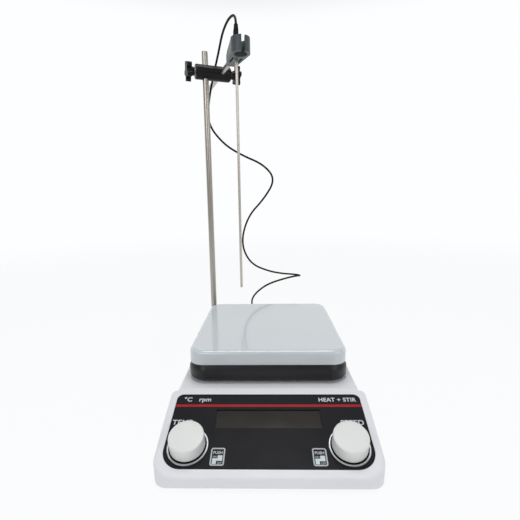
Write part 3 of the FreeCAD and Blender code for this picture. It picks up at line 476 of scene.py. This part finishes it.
cuts = [0] + [nearest((mm(ROUTE[i]) + mm(ROUTE[i + 1])) * 0.5) for i in SPLITS] + [len(LINE) - 1]
CABLES = {}
pairs = [("holder", "probe"), ("arm", "holder"), ("clamp", "arm"), ("stand_rod", "clamp"), ("base", "stand_rod")]
for k, (lo, hi) in enumerate(pairs):
    i0, i1 = cuts[k], cuts[k + 1]
    pts = LINE[i0:i1 + 1]
    ob = tube_mesh("cable_stretch_%d" % (5 - k), pts, FRAMES[i0:i1 + 1], CABLE_R * MM, M["cable_black"])
    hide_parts("probe_cable_%d" % (5 - k))
    a, z = pts[-1], pts[0]                      # a is the end towards the plug
    d = (z - a).normalized()
    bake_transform(ob)
    length = sum((pts[i + 1] - pts[i]).length for i in range(len(pts) - 1))
    CABLES[5 - k] = (ob, pts, length)


# ------------------------------------------------------------------ plug at the socket
yaxis = basis(mm((-27.0, 145.0, 22.0)), (1, 0, 0), (0, 1, 0))      # z out of the rear wall
prof = [(3.4, -4.9), (3.5, -4.6), (3.5, 4.0), (5.0, 4.0), (5.4, 4.3)]
rings = [circle(r, z, 96) for r, z in prof]
for z in [4.6 + 0.35 * i for i in range(0, 29)]:
    rings.append(circle(5.6, z, 96, wave=0.28, lobes=24, power=1.4))
rings += [circle(r, z, 96) for r, z in [(5.55, 15.0), (5.35, 15.5), (5.1, 16.2), (5.1, 18.6), (4.9, 19.6), (4.4, 20.8), (3.95, 21.7)]]
z = 22.0
for i in range(13):
    r0 = 3.85 - 1.45 * i / 12
    zz = 22.2 + 13.2 * i / 13
    rings += [circle(r0 + 0.06, zz, 96), circle(r0 + 0.06, zz + 0.62, 96), circle(r0 - 0.28, zz + 0.72, 96), circle(r0 - 0.28, zz + 0.98, 96)]
rings += [circle(2.35, 35.6, 96), circle(2.15, 36.0, 96), circle(1.7, 36.0, 96)]
plug = loft("plug_body", rings, M["handle_black"], matrix=yaxis, sharp=38)
finish_piece(plug, "base", "handle_black", "probe_plug")

# ------------------------------------------------------------------ the probe's ribbed handle
hz = basis(mm((-39.779, 45.555, 0)), (1, 0, 0), (0, 0, 1))
rings = [circle(2.0, 464.2, 108), circle(3.3, 464.2, 108), circle(3.72, 464.7, 108), circle(3.72, 470.6, 108), circle(3.45, 470.9, 108), circle(3.45, 471.3, 108), circle(3.7, 471.6, 108)]
for z in [472.0 + 0.5 * i for i in range(17)]:
    rings.append(circle(3.72, z, 108, wave=0.42, lobes=18, power=1.3))
rings += [circle(3.68, 480.6, 108), circle(3.7, 481.2, 108), circle(3.7, 483.0, 108), circle(3.65, 484.6, 108)]
verts = []
rings3 = [[Vector((p[0] - 39.779, p[1] + 45.555, p[2])) for p in r] for r in rings]
ax, ay = Vector((1, 0, 0)), Vector((0, 1, 0))
for i in range(0, 15):                      # the boot leans over with the cable
    t = i / 14
    if t < 0.5:
        c = NECK.lerp(ELBOW, t * 2)
        d = (Vector((0, 0, 1)) * (1 - t * 2) + (TIP_DIR + LEAN).normalized() * (t * 2)).normalized()
    else:
        c = ELBOW.lerp(TIP, t * 2 - 1)
        d = (LEAN * (2 - t * 2) + TIP_DIR * (t * 2 - 1)).normalized()
    x = (ax - d * ax.dot(d)).normalized()
    y = d.cross(x)
    r0 = 3.55 - 0.8 * t ** 1.5
    for dz, rr in ((-0.3, r0 + 0.05), (0.16, r0 + 0.05), (0.24, r0 - 0.2), (0.46, r0 - 0.2)):
        cc = c + d * dz
        if i == 14 and dz > 0.2:
            break
        rings3.append([cc + (x * math.cos(2 * math.pi * j / 108) + y * math.sin(2 * math.pi * j / 108)) * rr for j in range(108)])
rings3.append([TIP + TIP_DIR * 0.2 + (x * math.cos(2 * math.pi * j / 108) + y * math.sin(2 * math.pi * j / 108)) * 1.75 for j in range(108)])
handle = loft("handle_body", rings3, M["handle_black"], sharp=38)
finish_piece(handle, "probe", "handle_black", "probe_handle")

for k in (1, 2, 3, 4, 5):
    ob, pts, length = CABLES[k]

# ------------------------------------------------------------------ hot plate
rings = []
for inset, z in [(6.6, 75.8), (6.6, 67.2), (6.2, 66.75), (5.4, 66.6), (0.9, 66.6)] + [(0.8 - 0.8 * math.sin(math.radians(a)), 67.4 - 0.8 * math.cos(math.radians(a))) for a in (20, 40, 60, 80, 90)]:
    rings.append(rounded(95 - inset, 95 - inset, max(18 - inset, 1), z, 14))
for z in (69.5, 72.5, 75.5, 77.5, 78.8):
    rings.append(rounded(95, 95, 18, z, 14))
for inset, z in [(5.0 - 5.0 * math.cos(math.radians(a)), 79.0 + 5.0 * math.sin(math.radians(a))) for a in range(6, 91, 7)] + [(5.6, 84.0), (7.0, 84.0)]:
    rings.append(rounded(95 - inset, 95 - inset, 18 - inset, min(z, 84.0), 14))
for inset in (9.5, 20, 40, 60, 80):
    rings.append(rounded(95 - inset, 95 - inset, max(18 - inset, 18 * (95 - inset) / 95), 84.0, 14))
plate = loft("plate_glazed", rings, M["plate_white"], sharp=50)
finish_piece(plate, "base", "plate_white", "hot_plate")

# ------------------------------------------------------------------ knobs, rings
def knob(sx, body, node):
    m = PANEL @ Matrix.Translation(Vector((sx * 79.0, -71.8, 0)) * MM)
    rings = [circle(3.05, 12.05, 128), circle(3.05, 2.8, 128), circle(5.6, 2.8, 128), circle(5.6, 13.6, 128), circle(15.1, 13.7, 128), circle(15.1, 2.2, 128), circle(15.3, 1.95, 128), circle(17.0, 1.95, 128), circle(17.3, 2.1, 128), circle(17.4, 2.45, 128)]
    for z in (5.0, 8.0, 11.0, 14.2):
        rings.append(circle(17.4 - 0.2 * (z - 2) / 13, z, 128))
    for a in range(0, 91, 9):
        rings.append(circle(17.18 - 1.5 + 1.5 * math.cos(math.radians(a)), 14.6 + 1.45 * math.sin(math.radians(a)), 128))
    for r, z in ((15.2, 16.08), (14.0, 16.12), (11, 16.16), (7, 16.19), (3, 16.2), (0.8, 16.2)):
        rings.append(circle(r, z, 128))
    ob = loft(node + "_cap", rings, M["knob_white"], matrix=m, sharp=45)
    return finish_piece(ob, body, "knob_white", node)


knob(-1, "temp_dial", "temp_knob")
knob(1, "speed_dial", "speed_knob")
first = True
ring_meshes = []
for sx in (-1, 1):
    m = PANEL @ Matrix.Translation(Vector((sx * 79.0, -71.8, 0)) * MM)
    prof = [(18.5, 0.22), (18.5, 0.8)] + arc_profile(18.95, 0.8, 0.42, 180, 90, 5) + arc_profile(19.75, 0.8, 0.42, 90, 0, 5) + [(20.2, 0.7), (20.2, 0.22)]
    rings = [circle(r, min(z, 1.2), 144) for r, z in prof]
    verts = [m @ (Vector(p) * MM) for r in rings for p in r]
    n = 144
    faces = [(k * n + i, k * n + (i + 1) % n, ((k + 1) % len(rings)) * n + (i + 1) % n, ((k + 1) % len(rings)) * n + i) for k in range(len(rings)) for i in range(n)]
    ring_meshes.append((verts, faces))
verts = ring_meshes[0][0] + ring_meshes[1][0]
off = len(ring_meshes[0][0])
faces = ring_meshes[0][1] + [tuple(i + off for i in f) for f in ring_meshes[1][1]]
ringob = mesh_object("trim_rings", verts, faces, M["ring_silver"], sharp=45)
finish_piece(ringob, "base", "ring_silver", "knob_trim_rings")

# ------------------------------------------------------------------ copies of the other visible parts, with broken edges
refine("upper_housing", "base", "housing_white", M["housing_white"], 0.35, angle=30)
refine("base_pan", "base", "pan_grey", M["pan_grey"], 0.25)
refine("rubber_feet", "base", "foot_rubber", M["foot_rubber"], 0.35)
refine("front_overlay", "base", "overlay_black", M["overlay_black"], 0.08, seg=2)
refine("display_window", "base", "window_smoke", M["window_smoke"], 0.15)
refine("plate_shroud", "base", "shroud_black", M["shroud_black"], 0.5)
refine("boss_head", "clamp", "clamp_black", M["clamp_black"], 0.3, angle=38)
refine("rod_screw_knob", "rod_grip", "grip_black", M["grip_black"], 0.9, angle=50)
refine("arm_screw_knob", "arm_grip", "grip_black", M["grip_black"], 0.9, angle=50)
refine("probe_holder", "holder", "holder_grey", M["holder_grey"], 0.6, angle=38)
refine("mains_inlet", "base", "connector_black", M["connector_black"], 0.35)
refine("power_switch_frame", "base", "connector_black", M["connector_black"], 0.3)
refine("power_rocker", "switch_rocker", "rocker_black", M["rocker_black"], 0.3)
refine("inlet_pins", "base", "pin_nickel", M["pin_nickel"], 0.35)
refine("probe_socket", "base", "socket_nickel", M["socket_nickel"], 0.3)
refine("arm_rod", "arm", "arm_steel", M["arm_steel"], 0.2)
refine("support_rod", "stand_rod", "rod_steel", M["rod_steel"], 0.2)

# ------------------------------------------------------------------ printing on the front overlay (panel coordinates: x, distance down the slope)
def printed(name, polys, mat, lift=0.03, thick=0.03):
    """Flat printed shapes: a list of outlines in mm, each a thin plate on the overlay."""
    verts, faces = [], []
    z0, z1 = 0.2 + lift - thick, 0.2 + lift
    for pts in polys:
        n, o = len(pts), len(verts)
        verts += [PANEL @ (Vector((x, -a, z0)) * MM) for x, a in pts] + [PANEL @ (Vector((x, -a, z1)) * MM) for x, a in pts]
        faces.append(tuple(range(o + n, o + 2 * n)))
        faces.append(tuple(reversed(range(o, o + n))))
        faces += [(o + i, o + (i + 1) % n, o + n + (i + 1) % n, o + n + i) for i in range(n)]
    ob = mesh_object(name, verts, faces, mat)
    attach(ob, "base")
    return ob


def rr_outline(x0, a0, x1, a1, r, seg=6):
    out = []
    for cx, ca, s in ((x1 - r, a1 - r, 0), (x0 + r, a1 - r, 90), (x0 + r, a0 + r, 180), (x1 - r, a0 + r, 270)):
        for i in range(seg + 1):
            t = math.radians(s + 90 * i / seg)
            out.append((cx + r * math.cos(t), ca + r * math.sin(t)))
    return out


def frame_outline(x0, a0, x1, a1, r, w, seg=6):
    """A rounded frame as a ring of quads between an outer and an inner rounded outline."""
    o = rr_outline(x0, a0, x1, a1, r, seg)
    i = rr_outline(x0 + w, a0 + w, x1 - w, a1 - w, max(r - w, 0.3), seg)
    quads = []
    n = len(o)
    for k in range(n):
        j = (k + 1) % n
        quads.append([o[k], o[j], i[j], i[k]])
    return quads


def text(name, body, x, a, height, mat, align="LEFT", bold=0.0, spacing=1.08, wide=1.15):
    """Words in capitals of the given height; a is the baseline's distance down the slope."""
    cu = bpy.data.curves.new(name, "FONT")
    cu.body = body
    cu.size = height / 0.70 * MM
    cu.align_x = align
    cu.offset = bold * MM
    cu.space_character = spacing
    cu.extrude = 0.02 * MM
    ob = link(bpy.data.objects.new(name + "_outline", cu))
    bpy.context.view_layer.update()
    me = bpy.data.meshes.new_from_object(ob.evaluated_get(bpy.context.evaluated_depsgraph_get()))
    bpy.data.objects.remove(ob)
    bpy.data.curves.remove(cu)
    me.transform(PANEL @ Matrix.Translation(Vector((x, -a, 0.225)) * MM) @ Matrix.Diagonal((wide, 1, 1, 1)))
    me.materials.clear()
    me.materials.append(mat)
    me.name = name
    ob = link(bpy.data.objects.new(name, me))
    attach(ob, "base")
    return ob


printed("stripe_red", [rr_outline(-101.4, 22.5, 101.4, 25.7, 0.3)], PRINT_RED)
text("word_temp", "TEMP", -100.4, 47.9, 5.6, PRINT_WHITE, bold=0.16, spacing=1.04, wide=1.08)
text("word_speed", "SPEED", 99.4, 47.9, 5.6, PRINT_WHITE, align="RIGHT", bold=0.16, spacing=1.04, wide=1.08)
for side, cx in (("left", -48.4), ("right", 48.8)):
    x0, x1, a0, a1 = cx - 6.8, cx + 6.8, 73.6, 91.3
    printed("push_frame_" + side, frame_outline(x0, a0, x1, a1, 2.0, 1.3), PRINT_GREY)
    text("push_word_" + side, "PUSH", cx, 79.7, 2.7, PRINT_GREY, align="CENTER", bold=0.12, spacing=1.0, wide=1.0)
    s0, s1, b0, b1 = cx - 4.7, cx + 4.7, 81.2, 89.6
    printed("push_field_" + side, [[(s0 + 4.9, b0), (s1, b0), (s1, b1 - 3.0), (s0 + 4.9, b1 - 3.0)], [(s0, b0 + 2.9), (s0 + 4.9, b0 + 2.9), (s0 + 4.9, b1 - 3.0), (s0, b1 - 3.0)],
                                   [(s0, b1 - 3.0), (s0 + 3.8, b1 - 3.0), (s0 + 3.8, b1), (s0, b1)]], PRINT_ICE)
    text("push_on_" + side, "ON", s0 + 0.1, 83.5, 1.8, PRINT_GREY, bold=0.03, wide=1.0, spacing=1.0)
    text("push_off_" + side, "OFF", s1, 89.5, 1.8, PRINT_GREY, align="RIGHT", bold=0.03, wide=1.0, spacing=1.0)
text("word_units", "°C   rpm", -94.0, 18.4, 5.4, PRINT_WHITE, bold=0.17, spacing=1.05, wide=1.05)
text("word_function", "HEAT + STIR", 97.3, 18.5, 5.0, PRINT_WHITE, align="RIGHT", bold=0.17, spacing=1.05, wide=1.0)

# ------------------------------------------------------------------ stage
SKY = 1.0


def node_math(nt, op, a, b):
    n = nt.nodes.new("ShaderNodeMath")
    n.operation = op
    for k, v in ((0, a), (1, b)):
        if isinstance(v, (int, float)):
            n.inputs[k].default_value = v
        else:
            nt.links.new(v, n.inputs[k])
    return n.outputs[0]


def smooth(nt, fac, a, b, lo, hi):
    n = nt.nodes.new("ShaderNodeMapRange")
    n.interpolation_type = "SMOOTHSTEP"
    for k, v in (("From Min", a), ("From Max", b), ("To Min", lo), ("To Max", hi)):
        n.inputs[k].default_value = v
    nt.links.new(fac, n.inputs[0])
    return n.outputs[0]


def around(nt, vector):
    """Brightness of the surroundings towards a horizontal direction: light behind the object, dim in front."""
    flat = nt.nodes.new("ShaderNodeVectorMath")
    flat.operation = "MULTIPLY"
    flat.inputs[1].default_value = (1, 1, 0)
    nt.links.new(vector, flat.inputs[0])
    unit = nt.nodes.new("ShaderNodeVectorMath")
    unit.operation = "NORMALIZE"
    nt.links.new(flat.outputs[0], unit.inputs[0])
    sx = nt.nodes.new("ShaderNodeSeparateXYZ")
    nt.links.new(unit.outputs[0], sx.inputs[0])
    return smooth(nt, sx.outputs[1], -0.60, 0.55, 0.34, SKY)


def floor_material():
    m = material("floor_pale", (0.86, 0.86, 0.86), 0.6, spec=0.1, cvar=0.01, cscale=2, bump=0.05, bscale=200)
    nt = m.node_tree
    out = next(n for n in nt.nodes if n.type == "OUTPUT_MATERIAL")
    surf = next(n for n in nt.nodes if n.type == "BSDF_PRINCIPLED")
    tc = next(n for n in nt.nodes if n.type == "TEX_COORD")
    ln = nt.nodes.new("ShaderNodeVectorMath")
    ln.operation = "LENGTH"
    nt.links.new(tc.outputs["Object"], ln.inputs[0])
    fac = smooth(nt, ln.outputs[1], 0.5, 2.2, FLOOR_NEAR, 1.0)
    em = nt.nodes.new("ShaderNodeEmission")
    em.inputs["Color"].default_value = (0.985, 0.99, 1.0, 1)
    lit = nt.nodes.new("ShaderNodeMix")                 # pale near the object all round, dim far out in front
    lit.inputs[2].default_value = 1.0
    nt.links.new(smooth(nt, ln.outputs[1], 1.2, 3.0, 0.0, 1.0), lit.inputs[0])
    nt.links.new(around(nt, tc.outputs["Object"]), lit.inputs[3])
    nt.links.new(lit.outputs[0], em.inputs["Strength"])
    mix = nt.nodes.new("ShaderNodeMixShader")
    nt.links.new(fac, mix.inputs[0])
    nt.links.new(surf.outputs[0], mix.inputs[1])
    nt.links.new(em.outputs[0], mix.inputs[2])
    nt.links.new(mix.outputs[0], out.inputs[0])
    return m


FLOOR_NEAR = 0.90


def stage():
    floor = loft("floor", [circle(r * 1000, -0.05, 64) for r in (0.01, 0.5, 2, 8, 40)], floor_material(), caps=(True, False))
    w = bpy.data.worlds.new("studio")
    bpy.context.scene.world = w
    w.use_nodes = True
    nt = w.node_tree
    nt.nodes.clear()
    L = nt.links.new
    out = nt.nodes.new("ShaderNodeOutputWorld")
    bg = nt.nodes.new("ShaderNodeBackground")
    tc = nt.nodes.new("ShaderNodeTexCoord")
    sx = nt.nodes.new("ShaderNodeSeparateXYZ")
    L(tc.outputs["Generated"], sx.inputs[0])
    up = nt.nodes.new("ShaderNodeValToRGB")             # a dark band high up behind, which the sloped panel mirrors
    up.color_ramp.interpolation = "EASE"
    el = up.color_ramp.elements
    el[0].position, el[0].color = 0.40, (1, 1, 1, 1)
    el[1].position, el[1].color = 1.0, (0.75, 0.75, 0.75, 1)
    for p, v in ((0.60, 0.32), (0.82, 0.30)):
        e = el.new(p)
        e.color = (v, v, v, 1)
    L(sx.outputs[2], up.inputs[0])
    L(node_math(nt, "MULTIPLY", around(nt, tc.outputs["Generated"]), up.outputs[0]), bg.inputs["Strength"])
    bg.inputs["Color"].default_value = (0.985, 0.99, 1.0, 1)
    L(bg.outputs[0], out.inputs[0])

    def area(name, loc, target, size, power, colour=(1, 1, 1)):
        li = bpy.data.lights.new(name, "AREA")
        li.shape = "RECTANGLE"
        li.size, li.size_y = size
        li.energy = power
        li.color = colour
        ob = link(bpy.data.objects.new(name, li))
        d = (Vector(target) - Vector(loc)).normalized()
        ob.matrix_world = basis(loc, Vector((0, 0, 1)).cross(-d), -d)
        return ob

    area("key", (-0.75, -1.35, 0.95), (0, -0.05, 0.08), (1.0, 0.8), 6.6)
    area("top", (0, -0.08, 1.75), (0, -0.06, 0.0), (0.9, 0.9), 12.0)
    area("fill", (1.0, -1.1, 0.8), (0, -0.05, 0.08), (0.9, 0.8), 4.5)
    bpy.context.scene.view_settings.view_transform = "Standard"
    bpy.context.scene.view_settings.look = "None"


stage()
